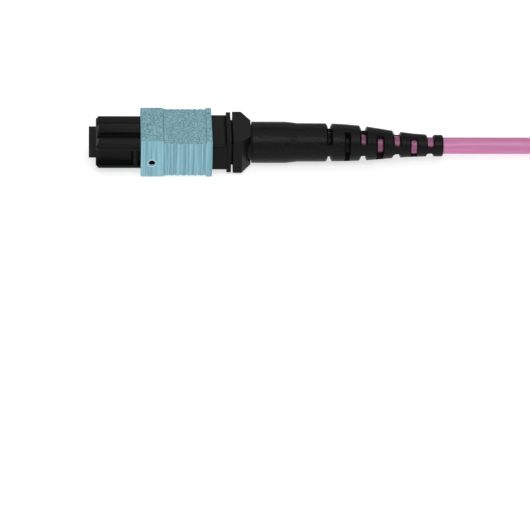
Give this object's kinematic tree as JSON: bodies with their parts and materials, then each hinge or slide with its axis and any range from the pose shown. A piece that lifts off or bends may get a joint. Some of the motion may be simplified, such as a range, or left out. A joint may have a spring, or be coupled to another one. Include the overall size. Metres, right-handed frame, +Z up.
{
  "type": "mpo fibre connector",
  "caption": "Push-pull multi-fibre connector with an aqua sliding grip sleeve, a spring-loaded ferrule and a slotted boot, on a round pink cable with the same connector at its far end.",
  "frame": {"origin": "middle of the ferrule's end face, on the connector's axis", "axes": "+X from the mating face back along the connector towards its cable, +Y to the side on which the hank lies, +Z up to the key side; the connector rests on its lower flat at Z -3.9 mm"},
  "size_m": [0.1729, 0.0327, 0.0169],
  "materials": {
    "ferrule_polymer": "moulded glass-filled polymer, polished end face",
    "clamp_steel": "stamped stainless steel",
    "ferrule_boot_rubber": "soft moulded rubber",
    "housing_black": "moulded, satin",
    "sleeve_aqua": "moulded, finely eroded satin",
    "push_black": "moulded, satin",
    "aramid": "loose yarn",
    "crimp_metal": "plain drawn, crimped",
    "boot_rubber": "moulded, fine matt grain",
    "spring_steel": "drawn wire",
    "jacket_pink": "extruded, soft sheen",
    "tie_fabric": "woven hook-and-loop strap",
    "coating_blue": "thin acrylate coating on glass",
    "coating_orange": "thin acrylate coating on glass",
    "coating_green": "thin acrylate coating on glass",
    "coating_brown": "thin acrylate coating on glass",
    "coating_slate": "thin acrylate coating on glass",
    "coating_white": "thin acrylate coating on glass",
    "coating_red": "thin acrylate coating on glass",
    "coating_black": "thin acrylate coating on glass",
    "coating_yellow": "thin acrylate coating on glass",
    "coating_violet": "thin acrylate coating on glass",
    "coating_rose": "thin acrylate coating on glass",
    "coating_aqua": "thin acrylate coating on glass"
  },
  "bodies": {
    "plug": {"plug_housing": "housing_black", "spring_push": "push_black", "aramid_yarn": "aramid", "crimp_ring": "crimp_metal", "cable_boot": "boot_rubber", "main_spring": "spring_steel", "coupling_spring_left": "spring_steel", "coupling_spring_right": "spring_steel", "cable_jacket": "jacket_pink", "cable_free": "jacket_pink", "cable_hank": "jacket_pink", "cable_tail": "jacket_pink", "hank_tie_near": "tie_fabric", "hank_tie_far": "tie_fabric", "far_plug_housing": "housing_black", "far_spring_push": "push_black", "far_cable_boot": "boot_rubber", "far_cable_jacket": "jacket_pink"},
    "sleeve": {"coupling_sleeve": "sleeve_aqua"},
    "ferrule": {"mt_ferrule": "ferrule_polymer", "pin_clamp": "clamp_steel", "ferrule_boot": "ferrule_boot_rubber", "fibre_01_blue": "coating_blue", "fibre_02_orange": "coating_orange", "fibre_03_green": "coating_green", "fibre_04_brown": "coating_brown", "fibre_05_slate": "coating_slate", "fibre_06_white": "coating_white", "fibre_07_red": "coating_red", "fibre_08_black": "coating_black", "fibre_09_yellow": "coating_yellow", "fibre_10_violet": "coating_violet", "fibre_11_rose": "coating_rose", "fibre_12_aqua": "coating_aqua"},
    "far_sleeve": {"far_coupling_sleeve": "sleeve_aqua"},
    "far_ferrule": {"far_mt_ferrule": "ferrule_polymer"}
  },
  "joints": [
    {"name": "sleeve_slide", "type": "slide", "parent": "plug", "child": "sleeve", "axis": [1, 0, 0], "range_m": [0, 0.0022], "stiffness_N_per_m": 1000, "springref_m": -0.002, "deforming": ["coupling_spring_left", "coupling_spring_right"]},
    {"name": "ferrule_float", "type": "slide", "parent": "plug", "child": "ferrule", "axis": [1, 0, 0], "range_m": [0, 0.0012], "stiffness_N_per_m": 3500, "springref_m": -0.002, "deforming": ["main_spring"]},
    {"name": "far_sleeve_slide", "type": "slide", "parent": "plug", "child": "far_sleeve", "axis": [-1, 0, 0], "range_m": [0, 0.0022], "stiffness_N_per_m": 1000, "springref_m": -0.002},
    {"name": "far_ferrule_float", "type": "slide", "parent": "plug", "child": "far_ferrule", "axis": [-1, 0, 0], "range_m": [0, 0.0012], "stiffness_N_per_m": 3500, "springref_m": -0.002}
  ]
}
